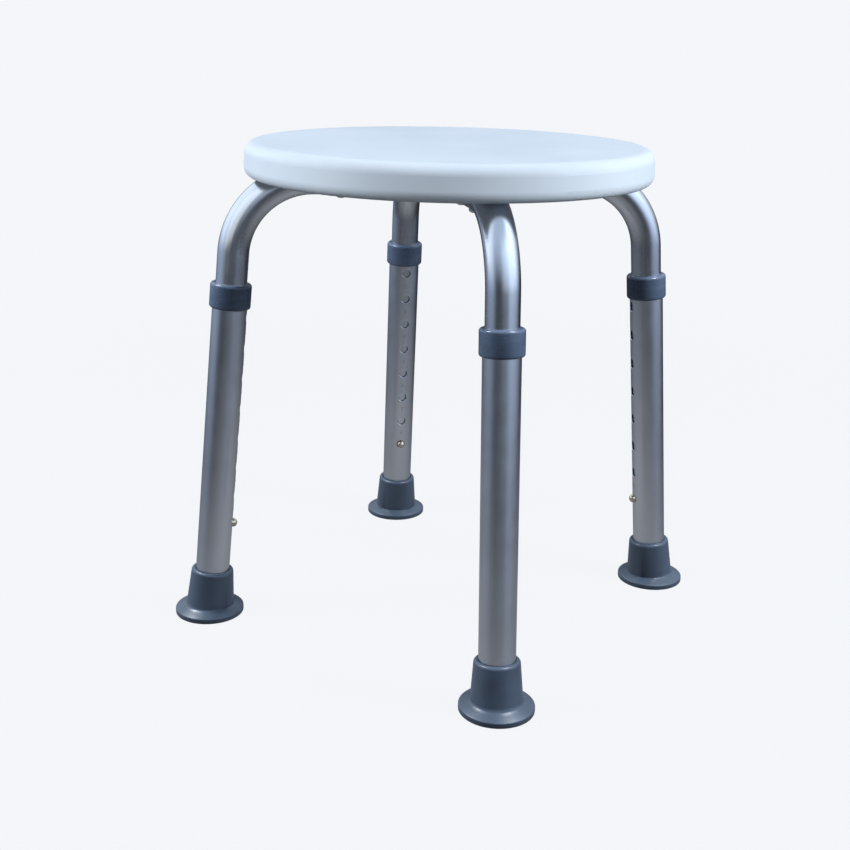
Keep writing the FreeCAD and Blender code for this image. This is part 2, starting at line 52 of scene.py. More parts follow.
UPPER_RADIUS = 12.5 * MM
LOWER_RADIUS = 14.0 * MM
TUBE_WALL = 1.2 * MM
TUBE_CHAMFER = 0.2 * MM
CROSS_HEIGHT = 366.3 * MM  # axis of the tubes' level ends
CROSS_START = 28.0 * MM
BEND_RADIUS = 63.5 * MM
UPPER_END = 62.0 * MM  # all heights on a leg are measured along its axis from the floor
LOWER_END = 11.5 * MM
LOWER_LENGTH = 270.3 * MM
FIRST_HOLE = 80.9 * MM
HOLE_PITCH = 25.4 * MM
HOLE_COUNT = 8
HOLE_RADIUS = 4.0 * MM
HOLE_LIP = 0.42 * MM  # round at the outer end of a hole
HOLE_EDGE = 0.1 * MM  # chamfer at its inner end
BUTTON_HOLE_RADIUS = 3.85 * MM
SCREW_CIRCLES = (87.0 * MM, 46.0 * MM)
SCREW_HOLE_RADIUS = 2.5 * MM
STAMP_FONT_SIZE = 5.88 * MM  # for digits 4.2 mm high
STAMP_RELIEF = 0.06 * MM
STAMP_BEVEL = 0.08 * MM
STAMP_CREASE = 30  # degrees

COLLAR_START = 265.6 * MM
COLLAR_END = 285.8 * MM
COLLAR_RADIUS = 16.5 * MM
COLLAR_TOP_ROUND = 2.4 * MM
COLLAR_FOOT_ROUND = 1.9 * MM
COLLAR_GUIDE = 12.6 * MM
COLLAR_MOUTH_ROUND = 0.4 * MM
COLLAR_LIP = 3.8 * MM

FOOT_RADIUS = 28.7 * MM
SOLE_ROUND = 0.5 * MM
FLANGE_EDGE = 4.2 * MM
FLANGE_TOP = 7.9 * MM
FLANGE_ROUND = 1.1 * MM
FLANGE_LEAN = 0.2  # share of the leg's lean that the flange's inner edge takes
CUP_BASE = 20.2 * MM
CUP_TOP = 17.4 * MM
CUP_HEIGHT = 39.6 * MM
CUP_ROUND = 2.7 * MM
CUP_BLEND = 1.2 * MM
SOLE = 9.5 * MM
SLEEVE_BORE = LOWER_RADIUS + 0.05 * MM  # bore of the collars and the feet
MOUTH_GAP = 0.4 * MM
MOUTH_DEPTH = 1.6 * MM
TREAD_RINGS = (11.0 * MM, 17.0 * MM)
TREAD_WIDTH = 2.4 * MM
TREAD_DEPTH = 1.2 * MM

AROUND = 96  # facets round a lathe-turned piece
TUBE_FACETS = 72  # facets round a tube
CUTTER_FACETS = 40
LEVEL_STEPS = 12  # facets along the three parts of an upper tube
BEND_STEPS = 36
LEG_STEPS = 24
PATCH = 10  # facets across the square of lower tube wall that holds a hole
GAP_STEPS = 2  # facets along the wall between two squares
SQUARE_SHARES = (0.62, 0.3, 0.1)  # rings between a square and its hole, as shares of the way out
LIP_STEPS = 4  # facets over a hole's round
FLANGE_SHARES = (0.33, 0.66)  # rings across the flange's top, as shares of the way in
ROUND_STEPS = 8  # facets over a rounded edge of a collar or foot
TOP_ROUND_STEPS = 10
SMALL_ROUND_STEPS = 4

record = frame["record"]
joints = {joint["name"]: joint for joint in record["behaviour"]["joints"]}
mounts = {mount["name"]: mount for mount in record["mounts"]}


def leg_matrix(leg):
    """A leg's own frame: floor mount at the origin, Z up the leg, X outwards and square to it."""
    up = -Vector(joints["leg_extend_" + leg]["axis"]).normalized()
    floor_point = Vector(mounts["foot_base_" + leg]["pos_m"])
    side = up.cross(floor_point).normalized()
    out = side.cross(up)
    matrix = Matrix((out, side, up)).transposed().to_4x4()
    matrix.translation = floor_point
    return matrix


def upright_matrix(leg):
    """The same point, but with Z vertical and X level and outwards."""
    floor_point = Vector(mounts["foot_base_" + leg]["pos_m"])
    turn = atan2(floor_point.y, floor_point.x)
    return Matrix.Translation(floor_point) @ Matrix.Rotation(turn, 4, "Z")


leg_axis = joints["leg_extend_front_right"]["axis"]
SPLAY = atan2(hypot(leg_axis[0], leg_axis[1]), -leg_axis[2])
FOOT_CIRCLE = Vector(mounts["foot_base_front_right"]["pos_m"]).xy.length


# ---------------------------------------------------------------- mesh helpers


def make_piece(name, points, faces, uvs=None, crease=40):
    """A mesh object at the origin; edges sharper than crease degrees stay sharp."""
    mesh = bpy.data.meshes.new(name)
    mesh.from_pydata(points, [], faces)
    if uvs:
        layer = mesh.uv_layers.new(name="along")
        for face, corners in zip(mesh.polygons, uvs):
            for loop, uv in zip(face.loop_indices, corners):
                layer.data[loop].uv = uv
    mesh.shade_smooth()
    mesh.set_sharp_from_angle(angle=radians(crease))
    mesh.validate()
    piece = bpy.data.objects.new(name, mesh)
    bpy.context.scene.collection.objects.link(piece)
    return piece


def arc(centre, radius, start, end, steps):
    """Points (r, z) on an arc from one angle to another, in degrees, both ends included."""
    angles = [radians(start + (end - start) * i / steps) for i in range(steps + 1)]
    return [(centre[0] + radius * cos(a), centre[1] + radius * sin(a)) for a in angles]


def ring_piece(name, rings, closed):
    """Quads between rings of equal length; a ring of one point is a pole."""
    points = []
    starts = []
    for ring in rings:
        starts.append(len(points))
        points.extend(ring)
    faces = []
    pairs = list(zip(range(len(rings)), range(1, len(rings))))
    if closed:
        pairs.append((len(rings) - 1, 0))
    for low, high in pairs:
        count = max(len(rings[low]), len(rings[high]))
        for i in range(count):
            j = (i + 1) % count
            if len(rings[low]) == 1:
                faces.append((starts[low], starts[high] + j, starts[high] + i))
            elif len(rings[high]) == 1:
                faces.append((starts[low] + i, starts[low] + j, starts[high]))
            else:
                faces.append(
                    (starts[low] + i, starts[low] + j, starts[high] + j, starts[high] + i)
                )
    return make_piece(name, points, faces)


def circle_of(radius, height, count=AROUND):
    """A level ring in a piece's own frame, or its pole."""
    if radius == 0:
        return [Vector((0, 0, height))]
    turns = [2 * pi * i / count for i in range(count)]
    return [Vector((radius * cos(t), radius * sin(t), height)) for t in turns]


# ---------------------------------------------------------------- upper tubes

CORNER = FOOT_CIRCLE - CROSS_HEIGHT * tan(SPLAY)
TANGENT = BEND_RADIUS * tan((pi / 2 - SPLAY) / 2)
BEND_START = CORNER - TANGENT
LEVEL_LENGTH = BEND_START - CROSS_START
BEND_LENGTH = BEND_RADIUS * (pi / 2 - SPLAY)
BEND_FOOT = Vector(
    (BEND_START + BEND_RADIUS * cos(SPLAY), CROSS_HEIGHT - BEND_RADIUS * (1 - sin(SPLAY)))
)
LEG_LENGTH = (Vector((FOOT_CIRCLE, 0)) - BEND_FOOT).length - UPPER_END
RUN_LENGTH = LEVEL_LENGTH + BEND_LENGTH + LEG_LENGTH


def run_at(distance):
    """Point and direction (r, z) of the upper tube's axis, from its inner end."""
    if distance <= LEVEL_LENGTH:
        return Vector((CROSS_START + distance, CROSS_HEIGHT)), Vector((1, 0))
    if distance <= LEVEL_LENGTH + BEND_LENGTH:
        turned = (distance - LEVEL_LENGTH) / BEND_RADIUS
        point = Vector((BEND_START, CROSS_HEIGHT - BEND_RADIUS))
        point += BEND_RADIUS * Vector((sin(turned), cos(turned)))
        return point, Vector((cos(turned), -sin(turned)))
    down = Vector((sin(SPLAY), -cos(SPLAY)))
    return BEND_FOOT + down * (distance - LEVEL_LENGTH - BEND_LENGTH), down


def spread(start, end, steps):
    """Even steps from start to end, both included."""
    return [start + (end - start) * i / steps for i in range(steps + 1)]


def tube_stations():
    """(distance, radius) of every ring round the tube wall: out along it, and back inside."""
    bend = spread(LEVEL_LENGTH, LEVEL_LENGTH + BEND_LENGTH, BEND_STEPS)
    level = spread(TUBE_CHAMFER, LEVEL_LENGTH, LEVEL_STEPS)[:-1]
    leg = spread(LEVEL_LENGTH + BEND_LENGTH, RUN_LENGTH - TUBE_CHAMFER, LEG_STEPS)[1:]
    along = level + bend + leg
    inner = UPPER_RADIUS - TUBE_WALL
    stations = [(s, UPPER_RADIUS) for s in along]
    stations.append((RUN_LENGTH, UPPER_RADIUS - TUBE_CHAMFER))
    stations.append((RUN_LENGTH, inner + TUBE_CHAMFER))
    stations += [(s, inner) for s in reversed(along)]
    stations.append((0, inner + TUBE_CHAMFER))
    stations.append((0, UPPER_RADIUS - TUBE_CHAMFER))
    return stations


def make_upper_tube(leg):
    """Bent tube with its screw holes and the window for the button."""
    floor_point = Vector(mounts["foot_base_" + leg]["pos_m"])
    out = floor_point.normalized()
    side = Vector((0, 0, 1)).cross(out)
    stations = tube_stations()
    points = []
    for distance, radius in stations:
        centre, along = run_at(distance)
        normal = Vector((-along.y, along.x))
        middle = out * centre.x + Vector((0, 0, centre.y))
        outward = out * normal.x + Vector((0, 0, normal.y))
        for i in range(TUBE_FACETS):
            turn = 2 * pi * i / TUBE_FACETS
            points.append(middle + radius * (cos(turn) * outward + sin(turn) * side))
    faces = []
    for k in range(len(stations)):
        low = k * TUBE_FACETS
        high = (k + 1) % len(stations) * TUBE_FACETS
        for i in range(TUBE_FACETS):
            j = (i + 1) % TUBE_FACETS
            faces.append((low + i, high + i, high + j, low + j))
    uvs = []
    step = 2 * pi * UPPER_RADIUS / TUBE_FACETS
    distances = [distance for distance, _ in stations]
    for low, high in zip(distances, distances[1:] + distances[:1]):
        for i in range(TUBE_FACETS):
            left, right = i * step, (i + 1) * step
            uvs.append(((left, low), (left, high), (right, high), (right, low)))
    tube = make_piece("upper_tube_shell_" + leg, points, faces, uvs)
    cutters = []
    for distance in SCREW_CIRCLES:
        place = Matrix.Translation(out * distance + Vector((0, 0, CROSS_HEIGHT)))
        cutters.append(make_cutter(place, SCREW_HOLE_RADIUS, -2 * UPPER_RADIUS, 2 * UPPER_RADIUS))
    button_place = leg_matrix(leg) @ Matrix.Translation((0, 0, FIRST_HOLE))
    inward = button_place @ Matrix.Rotation(-pi / 2, 4, "Y")
    cutters.append(make_cutter(inward, BUTTON_HOLE_RADIUS, 0, 2 * UPPER_RADIUS))
    cut_away(tube, cutters)
    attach(tube, "seat_frame")
    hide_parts("upper_tube_" + leg)
    return tube


def make_cutter(place, radius, low, high):
    """A plain cylinder along Z of a place, used once to cut a round hole."""
    ends = [circle_of(radius, height, CUTTER_FACETS) for height in (low, high)]
    rings = [circle_of(0, low), *ends, circle_of(0, high)]
    cutter = ring_piece("cutter", rings, closed=False)
    cutter.data.transform(place)
    return cutter


def cut_away(piece, cutters):
    """Subtracts the cutters from a piece for good, and deletes them."""
    for cutter in cutters:
        modifier = piece.modifiers.new("cut", "BOOLEAN")
        modifier.object = cutter
        modifier.solver = "EXACT"
    graph = bpy.context.evaluated_depsgraph_get()
    cut = bpy.data.meshes.new_from_object(piece.evaluated_get(graph))
    piece.modifiers.clear()
    piece.data = cut
    for cutter in cutters:
        bpy.data.objects.remove(cutter)


# ---------------------------------------------------------------- lower tubes


def lower_point(radius, side, height):
    """Point on a tube of this radius, on its inward half, in the leg's own frame."""
    return Vector((-sqrt(radius * radius - side * side), side, height))


# The second slot is painted shade: a near black copy of the tube's finish on the walls inside
# each hole.
# The third slot is a painted highlight: a lighter, smoother copy of the tube's finish on each
# hole's rounded lip.
WALL, PAINTED_SHADE_WALL, PAINTED_HIGHLIGHT_LIP = range(3)  # a lower tube's material slots


class TubeMesh:
    """Collects shared points and faces of a tube wall with holes on its inward side."""

    def __init__(self):
        self.points = []
        self.faces = []
        self.uvs = []
        self.looks = []

    def add(self, point):
        self.points.append(point)
        return len(self.points) - 1

    def face(self, corners, look=WALL):
        self.faces.append(tuple(corners))
        self.looks.append(look)
        turns = [atan2(self.points[c].y, -self.points[c].x) for c in corners]
        if max(turns) - min(turns) > pi:
            turns = [turn + 2 * pi if turn < 0 else turn for turn in turns]
        heights = [self.points[c].z for c in corners]
        self.uvs.append([(turn * LOWER_RADIUS, height) for turn, height in zip(turns, heights)])

    def bridge(self, first, second, look=WALL):
        """Quads between two closed rows of equal length; look is their material slot."""
        count = len(first)
        for i in range(count):
            j = (i + 1) % count
            self.face((first[i], first[j], second[j], second[i]), look)


def wall_rows():
    """Heights of the rings of facets, and the rows at which each hole's square starts."""
    square = 2 * pi * LOWER_RADIUS / TUBE_FACETS * PATCH
    heights = [LOWER_END + TUBE_CHAMFER]
    squares = []
    for hole in range(HOLE_COUNT):
        low = FIRST_HOLE + hole * HOLE_PITCH - square / 2
        heights += spread(heights[-1], low, GAP_STEPS)[1:]
        squares.append(len(heights) - 1)
        heights += spread(low, low + square, PATCH)[1:]
    heights += spread(heights[-1], LOWER_END + LOWER_LENGTH - TUBE_CHAMFER, GAP_STEPS)[1:]
    return heights, squares


def wall_grid(mesh, radius, inside):
    """One face of the wall as a grid with square gaps; gives the gaps' edges and end rings."""
    heights, squares = wall_rows()
    middle = TUBE_FACETS // 2
    first_column = middle - PATCH // 2
    rows = []
    for height in heights:
        row = []
        for i in range(TUBE_FACETS):
            turn = 2 * pi * i / TUBE_FACETS
            row.append(mesh.add(Vector((radius * cos(turn), radius * sin(turn), height))))
        rows.append(row)
    for k in range(len(heights) - 1):
        in_square = any(start <= k < start + PATCH for start in squares)
        for i in range(TUBE_FACETS):
            if in_square and first_column <= i < first_column + PATCH:
                continue
            j = (i + 1) % TUBE_FACETS
            corners = (rows[k][i], rows[k][j], rows[k + 1][j], rows[k + 1][i])
            mesh.face(corners[::-1] if inside else corners)
    gaps = []
    columns = list(range(first_column, first_column + PATCH + 1))
    for start in squares:
        low, high = rows[start], rows[start + PATCH]
        edge = [low[c] for c in columns[:-1]]
        edge += [rows[start + k][columns[-1]] for k in range(PATCH)]
        edge += [high[c] for c in reversed(columns[1:])]
        edge += [rows[start + k][columns[0]] for k in range(PATCH, 0, -1)]
        gaps.append(edge)
    return gaps, rows[0], rows[-1]


def ring_in_hole(mesh, angles, hole_radius, tube_radius, height):
    """Ring of points where a hole's wall meets a tube of this radius."""
    return [
        mesh.add(lower_point(tube_radius, hole_radius * cos(a), height + hole_radius * sin(a)))
        for a in angles
    ]


def hole_rings(mesh, square, height):
    """Rings from a square of the outer face to a hole's lip, over it and down to the bore."""
    outer = LOWER_RADIUS
    inner = LOWER_RADIUS - TUBE_WALL
    square_points = [mesh.points[c] for c in square]
    angles = [atan2(p.z - height, p.y) for p in square_points]
    half = max(p.y for p in square_points)
    rings = [square]
    for share in SQUARE_SHARES:
        ring = []
        for a, p in zip(angles, square_points):
            circle_y = (HOLE_RADIUS + HOLE_LIP) * cos(a)
            circle_z = (HOLE_RADIUS + HOLE_LIP) * sin(a)
            y = circle_y + (p.y - circle_y) * share
            z = circle_z + (p.z - height - circle_z) * share
            ring.append(mesh.add(lower_point(outer, max(-half, min(half, y)), height + z)))
        rings.append(ring)
    for step in range(LIP_STEPS + 1):
        turn = pi / 2 * step / LIP_STEPS
        hole_radius = HOLE_RADIUS + HOLE_LIP * (1 - sin(turn))
        tube_radius = outer - HOLE_LIP * (1 - cos(turn))
        rings.append(ring_in_hole(mesh, angles, hole_radius, tube_radius, height))
    rings.append(ring_in_hole(mesh, angles, HOLE_RADIUS, inner + HOLE_EDGE, height))
    rings.append(ring_in_hole(mesh, angles, HOLE_RADIUS + HOLE_EDGE, inner, height))
    return rings


def make_lower_tube(leg, materials):
    """Straight tube with eight rounded holes, drilled through its inward wall."""
    mesh = TubeMesh()
    outer = LOWER_RADIUS
    inner = LOWER_RADIUS - TUBE_WALL
    outer_gaps, outer_low, outer_high = wall_grid(mesh, outer, inside=False)
    inner_gaps, inner_low, inner_high = wall_grid(mesh, inner, inside=True)
    # The rounded lip of each hole takes the painted highlight slot.
    # The walls inside each hole take the painted shade slot.
    looks = [WALL] * (1 + len(SQUARE_SHARES)) + [PAINTED_HIGHLIGHT_LIP] * LIP_STEPS + [PAINTED_SHADE_WALL, PAINTED_SHADE_WALL, WALL]
    for hole in range(HOLE_COUNT):
        height = FIRST_HOLE + hole * HOLE_PITCH
        rings = hole_rings(mesh, outer_gaps[hole], height) + [inner_gaps[hole]]
        for near, far, look in zip(rings, rings[1:], looks):
            mesh.bridge(near, far, look)
    for outside, inside, end, way in (
        (outer_low, inner_low, LOWER_END, 1),
        (outer_high, inner_high, LOWER_END + LOWER_LENGTH, -1),
    ):
        edge = [mesh.add(p) for p in circle_of(outer - TUBE_CHAMFER, end, TUBE_FACETS)]
        bore = [mesh.add(p) for p in circle_of(inner + TUBE_CHAMFER, end, TUBE_FACETS)]
        rows = [inside, bore, edge, outside][::way]
        for near, far in zip(rows, rows[1:]):
            mesh.bridge(near, far)
    tube = make_piece("lower_tube_shell_" + leg, mesh.points, mesh.faces, mesh.uvs)
    for material in materials:
        tube.data.materials.append(material)
    for polygon, look in zip(tube.data.polygons, mesh.looks):
        polygon.material_index = look
    tube.data.transform(leg_matrix(leg))
    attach(tube, "lower_leg_" + leg)
    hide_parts("lower_tube_" + leg)


def make_stamps(leg):
    """Plain position numbers between the holes, raised a hair above the tube."""
    points = []
    faces = []
    for hole in range(HOLE_COUNT - 1):
        curve = bpy.data.curves.new("number", "FONT")
        curve.body = str(HOLE_COUNT - hole)
        curve.size = STAMP_FONT_SIZE
        curve.align_x = "CENTER"
        curve.align_y = "CENTER"
        curve.extrude = STAMP_RELIEF / 2
        curve.bevel_depth = STAMP_BEVEL
        curve.bevel_resolution = 0
        curve.resolution_u = 3
        text = bpy.data.objects.new("number", curve)
        mesh = bpy.data.meshes.new_from_object(text)
        height = FIRST_HOLE + (hole + 0.5) * HOLE_PITCH
        first = len(points)
        for vertex in mesh.vertices:
            x, y, z = vertex.co
            turn = -x / LOWER_RADIUS
            radius = LOWER_RADIUS + z
            points.append(Vector((-radius * cos(turn), radius * sin(turn), height + y)))
        faces += [tuple(first + i for i in face.vertices) for face in mesh.polygons]
        bpy.data.objects.remove(text)
        bpy.data.curves.remove(curve)
        bpy.data.meshes.remove(mesh)
    stamps = make_piece("height_numbers_" + leg, points, faces, crease=STAMP_CREASE)
    stamps.data.transform(leg_matrix(leg))
    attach(stamps, "lower_leg_" + leg)
    return stamps


# ---------------------------------------------------------------- collars


def make_collar(leg):
    """Plastic sleeve with rounded rims, fixed on the lower tube's end."""
    shoulder = COLLAR_END - COLLAR_LIP
    foot = (COLLAR_RADIUS - COLLAR_FOOT_ROUND, COLLAR_START + COLLAR_FOOT_ROUND)
    top = (COLLAR_RADIUS - COLLAR_TOP_ROUND, COLLAR_END - COLLAR_TOP_ROUND)
    mouth = (COLLAR_GUIDE + COLLAR_MOUTH_ROUND, COLLAR_END - COLLAR_MOUTH_ROUND)
    profile = [(SLEEVE_BORE, COLLAR_START)]
    profile += arc(foot, COLLAR_FOOT_ROUND, -90, 0, ROUND_STEPS)
    profile += arc(top, COLLAR_TOP_ROUND, 0, 90, TOP_ROUND_STEPS)
    profile += arc(mouth, COLLAR_MOUTH_ROUND, 90, 180, SMALL_ROUND_STEPS)
    profile += [(COLLAR_GUIDE, shoulder), (SLEEVE_BORE, shoulder)]
    rings = [circle_of(r, z) for r, z in profile]
    collar = ring_piece("collar_shell_" + leg, rings, closed=True)
    collar.data.transform(leg_matrix(leg))
    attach(collar, "lower_leg_" + leg)
    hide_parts("collar_" + leg)
    return collar


# ---------------------------------------------------------------- feet


def foot_profile():
    """(radius, height, lean) round the foot; lean 0 is upright and 1 follows the leg."""
    profile = [(0, 0, 0)]
    for ring in TREAD_RINGS:
        end = ring + TREAD_WIDTH
        profile += [(ring, 0, 0), (ring, TREAD_DEPTH, 0), (end, TREAD_DEPTH, 0), (end, 0, 0)]
    toe = arc((FOOT_RADIUS - SOLE_ROUND, SOLE_ROUND), SOLE_ROUND, -90, 0, SMALL_ROUND_STEPS)
    profile += [(r, z, 0) for r, z in toe]

    # The flange's top is a flat cone that rises inwards from a rounded rim.
    slope = (FLANGE_TOP - FLANGE_EDGE) / (FOOT_RADIUS - CUP_BASE)
    pitch = atan2(slope, 1)
    tilt = degrees(pitch)
    rim_height = FLANGE_EDGE - FLANGE_ROUND * tan(radians(90 - tilt) / 2)
    rim = arc((FOOT_RADIUS - FLANGE_ROUND, rim_height), FLANGE_ROUND, 0, 90 - tilt, ROUND_STEPS)
    profile += [(r, z, 0) for r, z in rim]

    # The cup's wall narrows upwards, and a small blend joins it to the cone.
    draft = atan2(CUP_BASE - CUP_TOP, CUP_HEIGHT - FLANGE_EDGE)
    corner_radius = CUP_BASE - (FLANGE_TOP - FLANGE_EDGE) * tan(draft)
    corner_height = FLANGE_EDGE + (FOOT_RADIUS - corner_radius) * slope
    reach = CUP_BLEND * tan((pi / 2 - pitch - draft) / 2)
    centre = (
        corner_radius + reach * cos(pitch) + CUP_BLEND * sin(pitch),
        corner_height - reach * sin(pitch) + CUP_BLEND * cos(pitch),
    )
    blend = arc(centre, CUP_BLEND, 270 - tilt, 180 + degrees(draft), ROUND_STEPS)
    (rim_r, rim_z), (blend_r, blend_z) = rim[-1], blend[0]
    for share in FLANGE_SHARES:
        r = rim_r + (blend_r - rim_r) * share
        z = rim_z + (blend_z - rim_z) * share
        profile.append((r, z, FLANGE_LEAN * share))
    for i, (r, z) in enumerate(blend):
        profile.append((r, z, FLANGE_LEAN + (1 - FLANGE_LEAN) * i / ROUND_STEPS))

    # The cup's rim is rounded outside, and its bore opens out at the mouth.
    round_centre = (CUP_TOP + CUP_ROUND * tan(draft) - CUP_ROUND, CUP_HEIGHT - CUP_ROUND)
    cup_round = arc(round_centre, CUP_ROUND, degrees(draft), 90, ROUND_STEPS)
    profile += [(r, z, 1) for r, z in cup_round]
    profile.append((SLEEVE_BORE + MOUTH_GAP, CUP_HEIGHT, 1))
    profile.append((SLEEVE_BORE, CUP_HEIGHT - MOUTH_DEPTH, 1))
    profile.append((SLEEVE_BORE, SOLE, 1))
    profile.append((0, SOLE, 1))
    return profile


def make_foot(leg):
    """Rubber foot: a flange flat on the floor that grows into a cup leaning with the leg."""
    rings = []
    for radius, height, lean in foot_profile():
        lean_back = Matrix.Rotation(-SPLAY * lean, 4, "Y")
        rings.append([lean_back @ point for point in circle_of(radius, height)])
    foot = ring_piece("foot_shell_" + leg, rings, closed=False)
    foot.data.transform(upright_matrix(leg))
    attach(foot, "lower_leg_" + leg)
    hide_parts("foot_" + leg)
    return foot


# ---------------------------------------------------------------- material helpers


def add(tree, kind, inputs=None, **settings):
    """A node with its settings and inputs; an input is a value or another node's output."""
    node = tree.nodes.new(kind)
    for key, value in settings.items():
        setattr(node, key, value)
    for key, value in (inputs or {}).items():
        if isinstance(value, bpy.types.NodeSocket):
            tree.links.new(value, node.inputs[key])
        else:
            node.inputs[key].default_value = value
    return node


MOST = (0.3, 0.7)  # the values between which nearly all of a noise lies


def noise(tree, vector, scale, detail=3.0, roughness=0.5):
    """A noise around 0.5; its scale is in cycles a metre."""
    inputs = {"Vector": vector, "Scale": scale, "Detail": detail, "Roughness": roughness}
    return add(tree, "ShaderNodeTexNoise", inputs).outputs["Fac"]


def remap(tree, value, low, high, start=0.0, end=1.0):
    """Maps start to end of a value onto low to high, clamped."""
    inputs = {"Value": value, "From Min": start, "From Max": end, "To Min": low, "To Max": high}
    return add(tree, "ShaderNodeMapRange", inputs).outputs["Result"]


MIX_COLOURS = slice(6, 8)  # the Mix node's colour sockets; its others have the same names
MIX_RESULT = 2


def blend_colour(tree, factor, first, second):
    """The first colour where the factor is 0 and the second where it is 1."""
    node = add(tree, "ShaderNodeMix", {"Factor": factor}, data_type="RGBA")
    for socket, colour in zip(node.inputs[MIX_COLOURS], (first, second)):
        if isinstance(colour, bpy.types.NodeSocket):
            tree.links.new(colour, socket)
        else:
            socket.default_value = (*colour, 1.0)
    return node.outputs[MIX_RESULT]


def stretch(tree, vector, scale):
    """Coordinates with each axis multiplied by its own scale."""
    return add(tree, "ShaderNodeMapping", {"Vector": vector, "Scale": scale}).outputs["Vector"]


def calculate(tree, operation, first, second):
    """One step of arithmetic on two values."""
    node = add(tree, "ShaderNodeMath", operation=operation)
    for socket, value in zip(node.inputs, (first, second)):
        if isinstance(value, bpy.types.NodeSocket):
            tree.links.new(value, socket)
        else:
            socket.default_value = value
    return node.outputs[0]


def bump(tree, height, distance, strength=1.0, normal=None):
    """A normal tilted by a height, on top of another bump where one is given."""
    inputs = {"Height": height, "Distance": distance, "Strength": strength}
    if normal is not None:
        inputs["Normal"] = normal
    return add(tree, "ShaderNodeBump", inputs).outputs["Normal"]


def new_material(name):
    """A material, its tree, its shader node and object coordinates in metres."""
    material = bpy.data.materials.new(name)
    material.use_nodes = True
    tree = material.node_tree
    place = add(tree, "ShaderNodeTexCoord")
    return material, tree, tree.nodes["Principled BSDF"], place


SHADER_INPUTS = {
    "colour": "Base Color",
    "metal": "Metallic",
    "rough": "Roughness",
    "specular": "Specular IOR Level",
    "normal": "Normal",
}


def set_shader(tree, shader, **inputs):
    """Sets the shader's inputs to values or links them to other nodes' outputs."""
    for key, value in inputs.items():
        socket = shader.inputs[SHADER_INPUTS[key]]
        if isinstance(value, bpy.types.NodeSocket):
            tree.links.new(value, socket)
        else:
            socket.default_value = value


# ---------------------------------------------------------------- materials

# Each look is a base colour that drifts between two shades, patches or flecks of a third, a
# roughness that follows the same noises, and bumps far smaller than the piece's own edges.


DRAWN_LINES = (5200, 26, 1)  # cycles a metre round a tube and along it
BROAD_LINES = (900, 5, 1)


def anodised_aluminium(name, tint=(0.70, 0.71, 0.73), rough=0.33):
    """Satin anodised tube: drawing lines along it, cloudy sheen, fine grain, rub marks."""
    material, tree, shader, place = new_material(name)
    drawn = noise(tree, stretch(tree, place.outputs["UV"], DRAWN_LINES), 1.0, 2.0)
    broad_lines = noise(tree, stretch(tree, place.outputs["UV"], BROAD_LINES), 1.0, 2.0)
    grain = noise(tree, place.outputs["Object"], 5200, 2.0)
    cloud = noise(tree, place.outputs["Object"], 24, 3.0)
    smudge = noise(tree, place.outputs["Object"], 70, 4.0, 0.6)
    darker = tuple(0.9 * c for c in tint)
    clouded = blend_colour(tree, remap(tree, cloud, 0, 1, *MOST), darker, tint)
    lined = blend_colour(tree, remap(tree, broad_lines, 0, 0.35, 0.35, 0.75), clouded, darker)
    roughness = remap(tree, smudge, 0.92 * rough, 1.12 * rough, *MOST)
    roughness = calculate(tree, "ADD", roughness, remap(tree, drawn, -0.02, 0.02, *MOST))
    normal = bump(tree, drawn, 0.003 * MM)
    normal = bump(tree, grain, 0.0015 * MM, normal=normal)
    set_shader(tree, shader, colour=lined, metal=1.0, rough=roughness, normal=normal)
    return material


SEAT_SHADES = ((0.69, 0.76, 0.86), (0.75, 0.82, 0.91))
SEAT_SCUFF = (0.55, 0.58, 0.62)
RUBBER_DUST = (0.14, 0.16, 0.19)
DUST_HEIGHT = 12 * MM
BRASS = (0.68, 0.59, 0.44)
TARNISHED_BRASS = (0.50, 0.42, 0.30)


def moulded_seat(name):
    """White blow moulded polyethylene: fine orange peel, faint clouding and scuffs."""
    material, tree, shader, place = new_material(name)
    where = place.outputs["Object"]
    cloud = noise(tree, where, 11, 4.0, 0.55)
    peel = noise(tree, where, 900, 2.0)
    waves = noise(tree, where, 38, 2.0)
    fleck = noise(tree, where, 240, 5.0, 0.7)
    white = blend_colour(tree, remap(tree, cloud, 0, 1, *MOST), *SEAT_SHADES)
    scuffed = blend_colour(tree, remap(tree, fleck, 0, 0.35, 0.68, 0.82), white, SEAT_SCUFF)
    rough = remap(tree, cloud, 0.46, 0.56, *MOST)
    rough = calculate(tree, "ADD", rough, remap(tree, fleck, 0, 0.1, 0.6, 0.8))
    normal = bump(tree, waves, 0.12 * MM, 0.5)
    normal = bump(tree, peel, 0.012 * MM, normal=normal)
    set_shader(tree, shader, colour=scuffed, rough=rough, specular=0.25, normal=normal)
    return material


def moulded_plastic(name, colour=(0.060, 0.083, 0.132), rough=0.25):
    """Blue-grey moulded collar: slight flow marks and a fine matt skin."""
    material, tree, shader, place = new_material(name)
    where = place.outputs["Object"]
    flow = noise(tree, stretch(tree, where, (1, 1, 3)), 60, 3.0)
    skin = noise(tree, where, 2600, 2.0)
    scuff = noise(tree, where, 190, 3.0, 0.55)
    lighter = tuple(1.18 * c for c in colour)
    base = blend_colour(tree, remap(tree, flow, 0, 1, *MOST), colour, lighter)
    rubbed = tuple(1.5 * c for c in colour)
    worn = blend_colour(tree, remap(tree, scuff, 0, 0.25, 0.5, 0.8), base, rubbed)
    roughness = remap(tree, flow, rough - 0.04, rough + 0.05, *MOST)
    roughness = calculate(tree, "ADD", roughness, remap(tree, scuff, 0, 0.08, 0.5, 0.8))
    normal = bump(tree, skin, 0.006 * MM)
    set_shader(tree, shader, colour=worn, rough=roughness, normal=normal)
    return material


